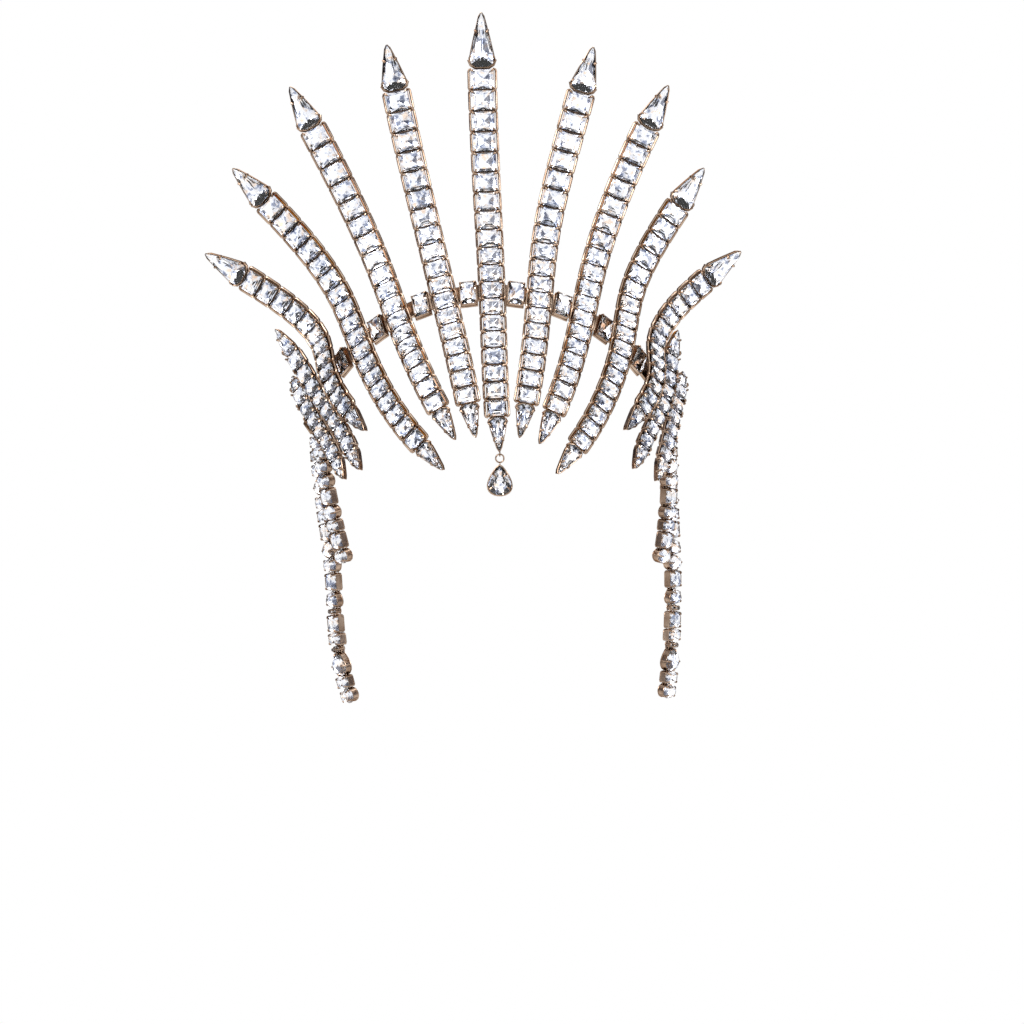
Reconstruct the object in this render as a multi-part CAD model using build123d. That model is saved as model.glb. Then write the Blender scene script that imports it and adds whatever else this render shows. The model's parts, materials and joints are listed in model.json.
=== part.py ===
from build123d import *
from math import atan2, cos, degrees, pi, radians, sin
import os

# A fringe tiara: quills of set stones stand in a fan on an Alice band, and strands hang at the temples.
# Millimetres. X is to the viewer's right, Y away from the viewer and Z up.
# The origin is on the band's inner face at the crown, where the band sits on the head.

flatness = 1e-7  # four corners further than this from one plane make two triangles

# Driving dimensions of the headband
band_radius = 89.0  # seen from the front
band_lean = 0.72  # how far the band goes back for each millimetre that it comes down
band_end_angle = 71.0
band_width = 8.0
band_thickness = 1.5
band_face_tilt = 28.0  # how far the band's face looks up at the crown
band_face_tilt_end = 46.0
band_steps = 24
band_stone_angles = (-48.3, -34.4, -20.2, -6.4, 7.1, 20.6, 34.3, 47.6)
band_stone_width = 8.0
band_stone_height = 12.6
band_stone_drop = 1.0  # below the strip's middle
band_setting_height = 1.2  # above the strip
band_stone_rise = 1.5
band_stone_margin = 0.5  # from a stone's edge to its setting's

# Driving dimensions of a long quill
frame_width_top = 13.2
frame_width_foot = 11.2
pitch_top = 9.3
pitch_foot = 7.4
tray_depth = 2.6
notch_depth = 0.9
notch_reach = 0.75  # along the quill, from a notch's bottom to its edge
top_setting_length = 21.6
centre_setting_length = 25.8
foot_setting_length = 15.5
foot_setting_share = 0.8  # its width, of the frame's
stone_share_top = 0.79  # of the frame's width
stone_share_foot = 0.72
point_share = 0.84  # a pointed stone's width, of its setting's
point_length_share = 0.95
point_base_share = 0.03  # from the setting's base to the stone's
stone_parting = 0.5  # between two stones of a quill
stone_rise = 2.0
seat_gap = 0.2  # between a stone and what carries it
saddle_gap = 0.2  # between a quill and its saddle
saddle_width = 5.6
saddle_length = 3.6  # along the quill, at the saddle's top

# Driving dimensions of a temple quill and of a strand's settings
temple_width_top = 9.6
temple_width_foot = 8.2
temple_pitch_top = 8.2
temple_pitch_foot = 7.2
temple_stone_share = 0.86
temple_foot_length = 12.0
temple_stone_sink = 0.3  # a temple quill's stones are soldered in
strand_depth = 4.6
strand_rise = 1.6
strand_parting = 0.25
hanger_lift = 2.9  # from the top of a front strand to the middle of its hanger
hanger_width = 3.2
hanger_height = 1.8
hanger_overlap = 2.0  # into the band's end
hanger_reach = 3.0  # past the middle of the front strand
hanger_end_margin = 1.5  # degrees from the band's end

# Driving dimensions of the forehead pendant
eye_radius = 0.9
eye_wire = 0.3
ring_radius = 1.85
ring_wire = 0.35
ring_clearance = 0.18
eye_sides = 12
ring_sides = 16
drop_half_width = 5.7
drop_height = 14.4
drop_depth = 3.0
drop_points = 14
drop_stone_share = 0.92
drop_back_share = 0.86
drop_bulge = 0.45  # where the setting is as wide as its face, as a share of its depth
eye_sink = 0.1  # into what carries it

# Every quill's line, from its foot on the forehead over the band's saddle to its free tip.
# links: square stones; turn: degrees that its face looks outward; then six points, x, y, z.
quill_rows = {
    "centre": dict(
        links=19, turn=0, foot=(4.1, -27, -72), brow=(2.2, -24, -42), seat=(0.6, -6, -0.6),
        rise=(-1.3, 8, 36), fan=(-3.2, 12.5, 74), tip=(-4.1, 14, 128.5),
    ),
    "left_1": dict(
        links=18, turn=-5, foot=(-6.6, -27, -65.8), brow=(-12.2, -23, -39), seat=(-21, -4.5, -2),
        rise=(-28.5, 8.5, 29), fan=(-37.3, 14, 66), tip=(-47.1, 15.5, 114),
    ),
    "right_1": dict(
        links=18, turn=5, foot=(12.4, -26.5, -65.8), brow=(18.4, -20.5, -33), seat=(21.7, -4.5, -2.3),
        rise=(25.4, 9, 30), fan=(35, 14.5, 70.6), tip=(46.2, 15.5, 113),
    ),
    "left_2": dict(
        links=18, turn=-12, foot=(-15.1, -26.5, -66.6), brow=(-31, -19, -36.6), seat=(-42.3, 1, -9.6),
        rise=(-52, 13.5, 16), fan=(-65.6, 19, 46), tip=(-91.8, 21, 95.5),
    ),
    "right_2": dict(
        links=18, turn=12, foot=(20.9, -25.5, -68.3), brow=(34.5, -17, -36), seat=(41.3, -1, -9.7),
        rise=(47, 11, 15), fan=(57.9, 18.5, 47.4), tip=(81.2, 21, 96),
    ),
    "left_3": dict(
        links=18, turn=-22, foot=(-19.7, -26, -79.4), brow=(-43.1, -16, -53), seat=(-59.4, 6.7, -21.4),
        rise=(-68, 18.5, -1), fan=(-89.9, 27, 29.8), tip=(-118.9, 31, 58.8),
    ),
    "right_3": dict(
        links=17, turn=22, foot=(28.2, -24.5, -81.2), brow=(50.3, -11, -48.4), seat=(59.2, 5.8, -21.4),
        rise=(64, 18, 2.5), fan=(76, 25.5, 27.4), tip=(97.6, 31, 59.3),
    ),
    "left_4": dict(
        links=12, turn=-38, foot=(-55.7, -9, -60), brow=(-67.2, 7.5, -47.8), seat=(-74, 17.5, -34.2),
        rise=(-77, 26.5, -22), fan=(-99.6, 35, 1), tip=(-131.6, 41, 20.5),
    ),
    "right_4": dict(
        links=12, turn=42, foot=(59.9, -10, -59.4), brow=(69.6, 6, -48.5), seat=(74.5, 15, -36.4),
        rise=(74.4, 24, -23), fan=(89.7, 36, 1), tip=(115.7, 43, 21.5),
    ),
}
temple_rows = {
    "left_5": dict(
        links=8, turn=-34, top=15.0, foot=(-58.7, -7, -80.5), brow=(-68.4, 9.5, -60), seat=(-79.8, 26, -43.5),
        rise=(-86.6, 33.5, -32.3), tip=(-100.4, 40.5, -14),
    ),
    "right_5": dict(
        links=7, turn=34, top=14.0, foot=(64.9, 0, -80), brow=(73.5, 13, -58.3), seat=(79.4, 24.5, -44.9),
        rise=(81.4, 32, -32.2), tip=(87.4, 40.5, -15),
    ),
    "left_6": dict(
        links=6, turn=-40, top=7.6, foot=(-66.6, 4, -84.8), brow=(-73, 15.5, -68), seat=(-84, 33, -50.7),
        rise=(-87.4, 37.5, -44.2), tip=(-90.8, 42.5, -35.6),
    ),
    "right_6": dict(
        links=6, turn=40, top=7.6, foot=(74.4, 9, -84.8), brow=(80, 21, -67), seat=(84.2, 33.8, -50),
        rise=(86, 38.8, -42.5), tip=(87.5, 43.9, -33.6),
    ),
}

# Each strand's line from its hanger down, the outward turn of its faces, and its settings in order.
# Settings are letters: r round, s square, o oblong, p pear, P large pear, b small ball link.
strand_rows = {
    "left_back": dict(
        turn=-50,
        line=((-79.7, 40, -62.9), (-78.2, 43.5, -86), (-73.2, 47, -127), (-72, 49, -150), (-64.6, 51, -187)),
        settings="rsrprsopropbosbPsr",
    ),
    "left_front": dict(
        turn=-50,
        line=((-78, 30, -68.5), (-75.1, 33, -88), (-67, 36, -122)),
        settings="srrorsor",
    ),
    "right_back": dict(
        turn=50,
        line=((81.5, 41, -62.9), (81.6, 44, -82), (83.2, 46, -110), (83.4, 49, -156), (80.8, 51, -185)),
        settings="rsrprsopropbosbPsr",
    ),
    "right_front": dict(
        turn=50,
        line=((81, 30, -68.5), (81.4, 33, -88), (77.6, 36, -122)),
        settings="srrorsor",
    ),
}
# width, and length along the strand
setting_sizes = {
    "r": dict(width=8.0, length=7.6),
    "s": dict(width=7.6, length=6.4),
    "o": dict(width=7.0, length=9.2),
    "p": dict(width=7.6, length=8.4),
    "P": dict(width=9.2, length=12.0),
    "b": dict(width=3.6, length=3.2),
}


class Line:
    """A curve followed by its length, with a face direction that keeps looking the same way."""

    def __init__(self, points, turn):
        self.edge = Spline(*points)
        self.length = self.edge.length
        self.straight_below = 0.0
        self.straight_above = self.length
        self.facing = Vector(sin(radians(turn)), -cos(radians(turn)), 0)

    def frame(self, distance):
        """Point, direction along, direction outward and direction across. The two ends are straight."""
        straight = min(max(distance, self.straight_below), self.straight_above)
        point, along, outward, across = self.curve_frame(straight)
        return point + along * (distance - straight), along, outward, across

    def curve_frame(self, distance):
        point = self.edge.position_at(distance, PositionMode.LENGTH)
        along = self.edge.tangent_at(distance, PositionMode.LENGTH)
        outward = (self.facing - along * self.facing.dot(along)).normalized()
        across = along.cross(outward)
        return point, along, outward, across


def flat_faces(corners):
    """A face through four corners, or two triangles where they aren't in one plane."""
    a, b, c, d = corners
    normal = (b - a).cross(c - a)
    if abs((d - a).dot(normal.normalized())) < flatness:
        return [Face(Wire.make_polygon(corners, close=True))]
    return [Face(Wire.make_polygon(three, close=True)) for three in ((a, b, c), (a, c, d))]


def faceted(rings, joined=False):
    """A solid with flat faces through rings of points, capped at both ends or joined into a loop."""
    faces = []
    pairs = list(zip(rings, rings[1:]))
    if joined:
        pairs.append((rings[-1], rings[0]))
    else:
        faces = [Face(Wire.make_polygon(ring, close=True)) for ring in (rings[0], rings[-1])]
    for low, high in pairs:
        for i in range(len(low)):
            j = (i + 1) % len(low)
            faces += flat_faces((low[i], low[j], high[j], high[i]))
    return Solid(Shell(faces))


def faceted_ring(centre, radius, wire, first, second, sides, wire_sides=6):
    """A wire ring with flat sides, in the plane of two directions."""
    rings = []
    normal = first.cross(second)
    for i in range(sides):
        a = 2 * pi * (i + 0.5) / sides
        out = first * cos(a) + second * sin(a)
        turns = [2 * pi * j / wire_sides for j in range(wire_sides)]
        rings.append([centre + out * (radius + wire * cos(b)) + normal * (wire * sin(b)) for b in turns])
    return faceted(rings, joined=True)


def band_frame(angle):
    """Point on the band's inner face, with its tangent, outward and upward directions."""
    a = radians(angle)
    point = Vector(band_radius * sin(a), band_lean * band_radius * (1 - cos(a)), -band_radius * (1 - cos(a)))
    along = Vector(cos(a), band_lean * sin(a), -sin(a)).normalized()
    share = abs(angle) / band_end_angle
    tilt = radians(band_face_tilt + (band_face_tilt_end - band_face_tilt) * share)
    outward = Vector(sin(a), 0, cos(a)) * sin(tilt) - Vector(0, 1, 0) * cos(tilt)
    outward = (outward - along * outward.dot(along)).normalized()
    return point, along, outward, outward.cross(along)


def band_stone_places():
    for angle in band_stone_angles:
        point, along, outward, up = band_frame(angle)
        yield point - up * band_stone_drop, along, outward, up


def slab(point, right, up, half_width, half_height):
    """Four corners of a rectangle."""
    return [
        point + right * x * half_width + up * z * half_height
        for x, z in ((-1, -1), (1, -1), (1, 1), (-1, 1))
    ]


# A stone's outline at its seat, its girdle, between its two tiers of facets and at its table:
# its share of the full outline, and its height as a share of the stone's rise
stone_tiers = ((0.96, 0.0), (1.0, 0.25), (0.82, 0.72), (0.56, 1.0))


def cut_stone(point, right, up, outward, outline, rise):
    """A stone with a girdle, two tiers of crown facets and a table. The outline is in right and up."""
    middle_up = sum(v for _, v in outline) / len(outline)
    rings = []
    for scale, height in stone_tiers:
        rings.append([
            point + right * (u * scale) + up * (middle_up + (v - middle_up) * scale) + outward * (height * rise)
            for u, v in outline
        ])
    return faceted(rings)


def box_outline(half_width, half_height):
    return [(half_width * u, half_height * v) for u, v in ((-1, -1), (1, -1), (1, 1), (-1, 1))]


# Corners of a round and of a pear with its narrow end up, as shares of the half width and half length
round_corners = (
    (-0.414, -1), (0.414, -1), (1, -0.414), (1, 0.414), (0.414, 1), (-0.414, 1), (-1, 0.414), (-1, -0.414),
)
pear_corners = (
    (-0.45, -1), (0.45, -1), (1, -0.5), (0.86, 0.2), (0.25, 1), (-0.25, 1), (-0.86, 0.2), (-1, -0.5),
)


def shaped_outline(corners, width, length):
    return [(width / 2 * u, length / 2 * v) for u, v in corners]


# Half widths of a pointed setting, as shares of the frame's half width, and their places along it
point_steps = ((0.0, 0.8), (0.15, 1.0), (0.55, 0.62), (1.0, 0.12))


def point_outline(half_width, length, base):
    """A pointed stone's outline: it stands on its base and points up."""
    right_side = [(half_width * share, base + place * length) for place, share in point_steps]
    return [(-u, v) for u, v in reversed(right_side)] + right_side


def quill_marks(line, links, first_pitch, last_pitch, foot_length, top_length):
    """Distances of the partings between links, from the foot's setting to the top's."""
    shares = [first_pitch + (last_pitch - first_pitch) * (i + 0.5) / links for i in range(links)]
    scale = (line.length - foot_length - top_length) / sum(shares)
    marks = [foot_length]
    for share in shares:
        marks.append(marks[-1] + share * scale)
    line.straight_below, line.straight_above = marks[0], marks[-1]
    return marks, scale


def tray(line, marks, width_at, foot_length, top_length, foot_width):
    """A quill's metal: notched links between two pointed settings, square in section."""
    stations = []
    for place, share in reversed(point_steps):
        stations.append((foot_length * (1 - place), share * foot_width / 2))
    for first, last in zip(marks, marks[1:]):
        half = width_at((first + last) / 2) / 2
        stations.append((first + notch_reach, half))
        stations.append((last - notch_reach, half))
        stations.append((last, half - notch_depth))
    stations.pop()
    for place, share in point_steps:
        stations.append((line.length - top_length * (1 - place), share * width_at(line.length) / 2))
    rings = []
    for distance, half in stations:
        point, along, outward, across = line.frame(distance)
        rings.append(slab(point, across, outward, half, tray_depth / 2))
    return faceted(rings)


def pointed_stone(line, start, length, setting_width, direction, clear):
    """The stone of a pointed setting. Direction is 1 where it points up the quill and -1 down it."""
    point, along, outward, across = line.frame(start + direction * length / 2)
    base = point - along * (direction * length / 2) + outward * (tray_depth / 2 + clear)
    outline = point_outline(setting_width * point_share / 2, length * point_length_share, length * point_base_share)
    return cut_stone(base, across * direction, along * direction, outward, outline, stone_rise)


def square_stones(line, marks, stone_width_at, clear):
    stones = []
    for first, last in zip(marks, marks[1:]):
        middle = (first + last) / 2
        low, high = line.frame(first + notch_reach), line.frame(last - notch_reach)
        point, along = (low[0] + high[0]) / 2, (high[0] - low[0]).normalized()
        across = (low[3] + high[3]).normalized()
        outward = across.cross(along)
        outline = box_outline(stone_width_at(middle) / 2, (last - first - stone_parting) / 2)
        seat = point + outward * (tray_depth / 2 + clear)
        stones.append(cut_stone(seat, across, along, outward, outline, stone_rise))
    return stones


def saddle(seat):
    """A post from the band's strip to the back of the quill that crosses it there."""
    point, along, outward, across = seat
    low, band_along, band_outward, band_up = band_frame(band_angle_of(point))
    top = point - outward * (tray_depth / 2 + saddle_gap)
    return faceted([
        slab(low + band_outward * (band_thickness / 2), band_along, band_up, saddle_width / 2, saddle_width / 2),
        slab(top, across, along, saddle_width / 2, saddle_length / 2),
    ])


def band_angle_of(point):
    """The band's angle under a point, seen from the front."""
    return degrees(atan2(point.X, point.Z + band_radius))


def make_headband(seats):
    rings = []
    for i in range(band_steps + 1):
        point, along, outward, up = band_frame(band_end_angle * (2 * i / band_steps - 1))
        rings.append(slab(point + outward * (band_thickness / 2), outward, up, band_thickness / 2, band_width / 2))
    pieces = [faceted(rings)]
    for point, along, outward, up in band_stone_places():
        pieces.append(faceted([
            slab(point + outward * height, along, up, band_stone_width / 2, band_stone_height / 2)
            for height in (band_thickness / 2, band_thickness + band_setting_height)
        ]))
    pieces += [saddle(seat) for seat in seats]
    for side in (-1, 1):
        pieces.append(make_hanger(side))
    return pieces[0].fuse(*pieces[1:])


def make_hanger(side):
    """The bar at the band's end that carries the two strands of its side."""
    point, along, outward, up = band_frame(side * (band_end_angle - hanger_end_margin))
    strand = strand_rows["left_front" if side < 0 else "right_front"]
    front = Vector(*strand["line"][0]) + Vector(0, 0, hanger_lift)
    back = point + outward * (band_thickness / 2) - up * (band_width / 4)
    reach = (front - back).normalized()
    flat = reach.cross(Vector(0, 0, 1)).normalized()
    ends = (back - reach * hanger_overlap, front + reach * hanger_reach)
    return faceted([slab(end, flat, reach.cross(flat), hanger_width / 2, hanger_height / 2) for end in ends])


# A strand's setting from its back to its stone's table: share of the outline, and height
strand_levels = (
    (1.0, 0.0),
    (1.0, strand_depth),
    (0.8, strand_depth + 0.45 * strand_rise),
    (0.5, strand_depth + strand_rise),
)


def make_strand(row):
    """Loose settings down a line, each a deep box with its stone's crown on it."""
    line = Line(row["line"], row["turn"])
    total = sum(setting_sizes[kind]["length"] for kind in row["settings"])
    scale = (line.length - strand_parting * len(row["settings"])) / total
    pieces, distance = [], 0.0
    for kind in row["settings"]:
        size = setting_sizes[kind]
        length = size["length"] * scale
        point, along, outward, across = line.frame(distance + length / 2)
        if kind in "pP":
            outline = shaped_outline(pear_corners, size["width"], length)
        elif kind in "so":
            outline = box_outline(size["width"] / 2, length / 2)
        else:
            outline = shaped_outline(round_corners, size["width"], length)
        back = point - outward * (strand_depth / 2)
        pieces.append(faceted([
            [back + across * (-u * share) + along * (-v * share) + outward * height for u, v in outline]
            for share, height in strand_levels
        ]))
        distance += length + strand_parting
    return Compound(pieces), scale


def save(name, shape):
    export_step(shape, f"parts/{name}.step")


def make_quills(rows, seats):
    for name, row in rows.items():
        line = Line([row[key] for key in ("foot", "brow", "seat", "rise", "fan", "tip")], row["turn"])
        top_length = centre_setting_length if name == "centre" else top_setting_length
        marks, scale = quill_marks(
            line, row["links"], pitch_foot, pitch_top, foot_setting_length, top_length
        )

        def width_at(distance):
            return frame_width_foot + (frame_width_top - frame_width_foot) * distance / line.length

        def stone_width_at(distance):
            return width_at(distance) * (
                stone_share_foot + (stone_share_top - stone_share_foot) * distance / line.length
            )

        foot_width = width_at(0) * foot_setting_share
        frame = tray(line, marks, width_at, foot_setting_length, top_length, foot_width)
        if name == "centre":
            frame = frame.fuse(make_eye(foot_eye))
        top_stone = pointed_stone(line, marks[-1], top_length, width_at(line.length), 1, seat_gap)
        foot_stone = pointed_stone(line, marks[0], foot_setting_length, foot_width, -1, seat_gap)
        save(f"quill_frame_{name}", frame)
        save(f"quill_stones_{name}", Compound(square_stones(line, marks, stone_width_at, seat_gap)))
        save(f"top_stone_{name}", top_stone)
        save(f"foot_stone_{name}", foot_stone)
        seats.append(line.frame(nearest(line, row["seat"])))
        print(name, "length", round(line.length, 1), "pitch scale", round(scale, 3))


def make_temple_quills(rows, seats):
    for name, row in rows.items():
        line = Line([row[key] for key in ("foot", "brow", "seat", "rise", "tip")], row["turn"])
        marks, scale = quill_marks(
            line, row["links"], temple_pitch_foot, temple_pitch_top, temple_foot_length, row["top"]
        )

        def width_at(distance):
            return temple_width_foot + (temple_width_top - temple_width_foot) * distance / line.length

        def stone_width_at(distance):
            return width_at(distance) * temple_stone_share

        pieces = [tray(line, marks, width_at, temple_foot_length, row["top"], width_at(0))]
        pieces += square_stones(line, marks, stone_width_at, -temple_stone_sink)
        pieces.append(pointed_stone(line, marks[0], temple_foot_length, width_at(0), -1, -temple_stone_sink))
        pieces.append(pointed_stone(line, marks[-1], row["top"], width_at(0), 1, -temple_stone_sink))
        save(f"temple_quill_{name}", pieces[0].fuse(*pieces[1:]))
        seats.append(line.frame(nearest(line, row["seat"])))
        print(name, "length", round(line.length, 1), "pitch scale", round(scale, 3))


def nearest(line, point, steps=400):
    """How far along the line the point lies."""
    return min(
        (line.length * i / steps for i in range(steps + 1)),
        key=lambda distance: (line.frame(distance)[0] - Vector(*point)).length,
    )


# The eye hangs under the centre quill's foot, the ring in the eye, and the drop's eye in the ring
foot_eye = Vector(*quill_rows["centre"]["foot"]) - Vector(0, 0, eye_radius - eye_sink)
wire_step = eye_wire + ring_wire + ring_clearance
ring_centre = foot_eye + Vector(0, 0, wire_step - eye_radius - ring_radius)
drop_eye = ring_centre + Vector(0, 0, wire_step - ring_radius - eye_radius)
ring_hinge = foot_eye - Vector(0, 0, eye_radius)
drop_hinge = ring_centre - Vector(0, 0, ring_radius)


def make_eye(centre):
    return faceted_ring(centre, eye_radius, eye_wire, Vector(0, 1, 0), Vector(0, 0, 1), eye_sides)


def drop_outline():
    """A pear seen from the front: a round foot, drawn in to a narrow top. It starts at the top."""
    points = []
    for i in range(drop_points):
        a = 2 * pi * (i + 0.5) / drop_points
        points.append((drop_half_width * sin(a) * (0.92 - 0.49 * cos(a)), drop_height / 2 * cos(a)))
    return points


def make_pendant():
    ring = faceted_ring(ring_centre, ring_radius, ring_wire, Vector(1, 0, 0), Vector(0, 0, 1), ring_sides)
    save("pendant_ring", ring)
    right, up, outward = Vector(1, 0, 0), Vector(0, 0, 1), Vector(0, -1, 0)
    middle = drop_eye - Vector(0, 0, eye_radius - 1.5 * eye_sink + drop_height / 2)
    outline = drop_outline()
    back = middle - outward * (drop_depth / 2)
    setting = faceted([
        [back + right * (u * scale) + up * (v * scale) + outward * height for u, v in outline]
        for scale, height in ((drop_back_share, 0.0), (1.0, drop_depth * drop_bulge), (1.0, drop_depth))
    ])
    save("pendant_setting", setting.fuse(make_eye(drop_eye)))
    face = middle + outward * (drop_depth / 2 + seat_gap)
    inner = [(u * drop_stone_share, v * drop_stone_share) for u, v in outline]
    save("pendant_stone", cut_stone(face, right, up, outward, inner, stone_rise))


def make_band_stones():
    stones = []
    for point, along, outward, up in band_stone_places():
        outline = box_outline(band_stone_width / 2 - band_stone_margin, band_stone_height / 2 - band_stone_margin)
        face = point + outward * (band_thickness + band_setting_height + seat_gap)
        stones.append(cut_stone(face, along, up, outward, outline, band_stone_rise))
    save("band_stones", Compound(stones))


os.makedirs("parts", exist_ok=True)
seats = []
make_quills(quill_rows, seats)
make_temple_quills(temple_rows, seats)
save("headband", make_headband(seats))
make_band_stones()
for name, row in strand_rows.items():
    strand, scale = make_strand(row)
    save(f"strand_{name}", strand)
    print("strand", name, "scale", round(scale, 3))
make_pendant()
print("ring hinge", ring_hinge, "drop hinge", drop_hinge)
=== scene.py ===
# Fringe tiara: crystal quills in rose-gold settings on an Alice band
import bpy
import bmesh
import json
import math
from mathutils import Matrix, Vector

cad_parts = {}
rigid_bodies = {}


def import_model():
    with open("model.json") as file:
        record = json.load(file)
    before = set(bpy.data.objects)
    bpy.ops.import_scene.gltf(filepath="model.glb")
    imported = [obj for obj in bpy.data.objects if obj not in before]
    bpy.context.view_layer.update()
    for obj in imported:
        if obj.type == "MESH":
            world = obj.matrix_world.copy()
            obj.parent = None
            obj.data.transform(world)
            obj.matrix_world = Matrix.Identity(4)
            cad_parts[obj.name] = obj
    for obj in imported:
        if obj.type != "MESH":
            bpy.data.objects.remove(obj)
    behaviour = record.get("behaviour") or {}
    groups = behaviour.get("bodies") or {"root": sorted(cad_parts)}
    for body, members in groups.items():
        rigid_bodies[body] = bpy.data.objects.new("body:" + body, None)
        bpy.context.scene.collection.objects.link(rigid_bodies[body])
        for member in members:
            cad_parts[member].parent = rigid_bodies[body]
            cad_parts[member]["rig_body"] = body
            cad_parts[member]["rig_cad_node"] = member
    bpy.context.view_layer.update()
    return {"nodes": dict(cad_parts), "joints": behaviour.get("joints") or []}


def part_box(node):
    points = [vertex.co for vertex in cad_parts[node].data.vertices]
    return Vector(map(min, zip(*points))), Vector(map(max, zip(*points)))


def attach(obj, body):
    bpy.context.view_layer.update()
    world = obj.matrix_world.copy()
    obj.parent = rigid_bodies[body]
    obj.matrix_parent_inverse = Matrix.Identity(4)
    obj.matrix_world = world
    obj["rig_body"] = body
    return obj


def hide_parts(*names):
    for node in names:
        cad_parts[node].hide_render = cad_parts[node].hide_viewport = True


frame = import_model()
nodes = frame["nodes"]
joints = {joint["name"]: joint for joint in frame["joints"]}
mm = 0.001
# places in the list of finishes; the last is painted shade for the dark bars between links
gilt, crystal, foil, partingShade = 0, 1, 2, 3
longQuills = ["centre"] + [f"{side}_{number}" for number in (1, 2, 3, 4) for side in ("left", "right")]
templeQuills = ["left_5", "right_5", "left_6", "right_6"]
strandNames = ["left_back", "left_front", "right_back", "right_front"]
right, back, up = Vector((1, 0, 0)), Vector((0, 1, 0)), Vector((0, 0, 1))


# materials

def startMaterial(name):
    material = bpy.data.materials.new(name)
    material.use_nodes = True
    tree = material.node_tree
    shader = tree.nodes["Principled BSDF"]
    place = tree.nodes.new("ShaderNodeTexCoord")
    return material, tree, shader, place


def addNoise(tree, place, scale, detail=4.0, space="Object"):
    noise = tree.nodes.new("ShaderNodeTexNoise")
    noise.inputs["Scale"].default_value = scale
    noise.inputs["Detail"].default_value = detail
    tree.links.new(place.outputs[space], noise.inputs["Vector"])
    return noise


def addRamp(tree, source, stops):
    # stops are (place, colour) with grey given as one number
    ramp = tree.nodes.new("ShaderNodeValToRGB")
    while len(ramp.color_ramp.elements) < len(stops):
        ramp.color_ramp.elements.new(0.5)
    for element, (where, colour) in zip(ramp.color_ramp.elements, stops):
        element.position = where
        element.color = (colour, colour, colour, 1) if isinstance(colour, float) else (*colour, 1)
    tree.links.new(source, ramp.inputs["Fac"])
    return ramp


def addBump(tree, source, shader, strength, distance):
    bump = tree.nodes.new("ShaderNodeBump")
    bump.inputs["Strength"].default_value = strength
    bump.inputs["Distance"].default_value = distance
    tree.links.new(source, bump.inputs["Height"])
    tree.links.new(bump.outputs["Normal"], shader.inputs["Normal"])


def addTones(tree, noise, shader, tones):
    colour = addRamp(tree, noise.outputs["Fac"], tones)
    tree.links.new(colour.outputs["Color"], shader.inputs["Base Color"])


def addGrain(tree, place, shader, look, detail=4.0):
    # one noise gives both roughness and bump
    grain = addNoise(tree, place, look["grain"], detail)
    rough = addRamp(tree, grain.outputs["Fac"], look["rough"])
    tree.links.new(rough.outputs["Color"], shader.inputs["Roughness"])
    addBump(tree, grain.outputs["Fac"], shader, look["bump"], look["bumpDepth"])
    return grain


def mixShaders(tree, share, first, second, target):
    mix = tree.nodes.new("ShaderNodeMixShader")
    tree.links.new(share, mix.inputs[0])
    tree.links.new(first, mix.inputs[1])
    tree.links.new(second, mix.inputs[2])
    tree.links.new(mix.outputs[0], target)


def makeGold():
    look = dict(
        tarnish=160.0, edgeTint=(0.30, 0.18, 0.12, 1), grain=900.0, grainDetail=6.0,
        tones=((0.30, (0.23, 0.15, 0.10)), (0.50, (0.36, 0.255, 0.185)), (0.72, (0.56, 0.43, 0.33))),
        rough=((0.3, 0.14), (0.7, 0.30)), bump=0.12, bumpDepth=0.00004,
    )
    material, tree, shader, place = startMaterial("roseGold")
    shader.inputs["Metallic"].default_value = 1.0
    shader.inputs["Specular Tint"].default_value = look["edgeTint"]
    addTones(tree, addNoise(tree, place, look["tarnish"]), shader, look["tones"])
    addGrain(tree, place, shader, look, look["grainDetail"])
    return material


def makeCrystal():
    look = dict(
        colour=(0.98, 0.985, 1.0, 1), ior=1.56, grain=700.0, rough=((0.35, 0.0), (0.75, 0.03)),
        bump=0.03, bumpDepth=0.00002,
    )
    material, tree, shader, place = startMaterial("clearCrystal")
    shader.inputs["Base Color"].default_value = look["colour"]
    shader.inputs["IOR"].default_value = look["ior"]
    shader.inputs["Transmission Weight"].default_value = 1.0
    addGrain(tree, place, shader, look)
    return material


def makeFoil():
    # the silvered back of a stone, with grey-blue and peach patches painted on as reflections, not tints of
    # the foil
    look = dict(
        paintedReflectionScale=420.0, paintedReflectionDetail=2.0, grain=1500.0, rough=((0.3, 0.02), (0.7, 0.10)),
        tones=(
            (0.36, (0.30, 0.34, 0.46)), (0.42, (0.88, 0.91, 0.98)), (0.58, (0.98, 0.97, 0.97)),
            (0.66, (0.98, 0.80, 0.66)),
        ),
        bump=0.05, bumpDepth=0.00002,
    )
    material, tree, shader, place = startMaterial("silveredBackPaintedReflections")
    shader.inputs["Metallic"].default_value = 1.0
    # noise lays the painted reflections: grey-blue dark patches and peach ones over white silver
    addTones(tree, addNoise(tree, place, look["paintedReflectionScale"], look["paintedReflectionDetail"]), shader, look["tones"])
    addGrain(tree, place, shader, look)
    return material


def makePartingShadeBrass():
    # a dark bar between two links, coloured as painted shade: its near-black brown stands in for the shadow
    # in the parting
    look = dict(
        metallic=0.4, tones=((0.35, (0.02, 0.012, 0.008)), (0.7, (0.11, 0.06, 0.033))),
        grain=500.0, rough=((0.3, 0.55), (0.7, 0.38)), bump=0.2, bumpDepth=0.00004,
    )
    material, tree, shader, place = startMaterial("partingShadeBrass")
    shader.inputs["Metallic"].default_value = look["metallic"]
    grainAndPaintedShade = addGrain(tree, place, shader, look)
    # the noise's tones are painted shade, near-black browns for gold in shadow
    addTones(tree, grainAndPaintedShade, shader, look["tones"])
    return material


finishes = [makeGold(), makeCrystal(), makeFoil(), makePartingShadeBrass()]
print("materials made")


# reading the frame

# corners nearer than this in metres are one, and faces within this angle in radians are one
weld = 1e-5
flatAngle = 0.002


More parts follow.
